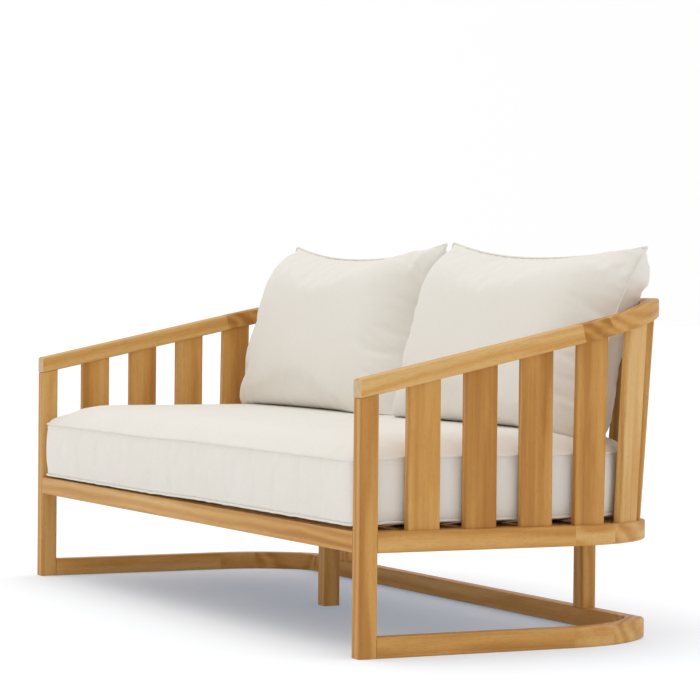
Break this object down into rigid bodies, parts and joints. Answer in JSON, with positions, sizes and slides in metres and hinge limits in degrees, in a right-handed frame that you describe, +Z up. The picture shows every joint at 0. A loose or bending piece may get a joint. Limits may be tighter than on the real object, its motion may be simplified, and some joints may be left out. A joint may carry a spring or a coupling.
{
  "type": "patio loveseat",
  "caption": "Wooden patio loveseat with a slatted wrap-around back, arms that rise to the rear, a sled base and loose seat and back cushions.",
  "frame": {"origin": "on the floor under the centre of the bounding box", "axes": "+X along the length to the right of someone who faces the front, +Y from front to back, +Z up"},
  "size_m": [2, 0.844, 0.9226],
  "materials": {
    "teak": "sanded and oiled, satin",
    "cushion_fabric": "woven, matte"
  },
  "bodies": {
    "frame": {"arm_front_corner_left": "teak", "arm_front_corner_right": "teak", "arm_rail_left": "teak", "arm_rail_right": "teak", "arm_rear_corner_left": "teak", "arm_rear_corner_right": "teak", "back_slat_1": "teak", "back_slat_10": "teak", "back_slat_11": "teak", "back_slat_12": "teak", "back_slat_2": "teak", "back_slat_3": "teak", "back_slat_4": "teak", "back_slat_5": "teak", "back_slat_6": "teak", "back_slat_7": "teak", "back_slat_8": "teak", "back_slat_9": "teak", "centre_leg": "teak", "corner_slat_left_1": "teak", "corner_slat_left_2": "teak", "corner_slat_right_1": "teak", "corner_slat_right_2": "teak", "floor_back_rail": "teak", "floor_front_corner_left": "teak", "floor_front_corner_right": "teak", "floor_rear_corner_left": "teak", "floor_rear_corner_right": "teak", "floor_side_rail_left": "teak", "floor_side_rail_right": "teak", "front_post_left": "teak", "front_post_right": "teak", "loose_tenons": "teak", "rear_leg_left": "teak", "rear_leg_right": "teak", "seat_back_rail": "teak", "seat_bearers": "teak", "seat_cleats": "teak", "seat_deck_slats": "teak", "seat_front_corner_left": "teak", "seat_front_corner_right": "teak", "seat_front_rail": "teak", "seat_rear_corner_left": "teak", "seat_rear_corner_right": "teak", "seat_side_rail_left": "teak", "seat_side_rail_right": "teak", "side_slat_left_1": "teak", "side_slat_left_2": "teak", "side_slat_left_3": "teak", "side_slat_left_4": "teak", "side_slat_right_1": "teak", "side_slat_right_2": "teak", "side_slat_right_3": "teak", "side_slat_right_4": "teak", "top_back_rail": "teak"},
    "seat_cushion": {"seat_cushion": "cushion_fabric"},
    "back_cushion_left": {"back_cushion_left": "cushion_fabric"},
    "back_cushion_right": {"back_cushion_right": "cushion_fabric"}
  },
  "joints": [
    {"name": "seat_cushion_lift", "type": "slide", "parent": "frame", "child": "seat_cushion", "axis": [0, 0, 1], "range_m": [0, 0.3]},
    {"name": "back_cushion_left_lift", "type": "slide", "parent": "seat_cushion", "child": "back_cushion_left", "axis": [0, 0, 1], "range_m": [0, 0.35]},
    {"name": "back_cushion_right_lift", "type": "slide", "parent": "seat_cushion", "child": "back_cushion_right", "axis": [0, 0, 1], "range_m": [0, 0.35]}
  ]
}
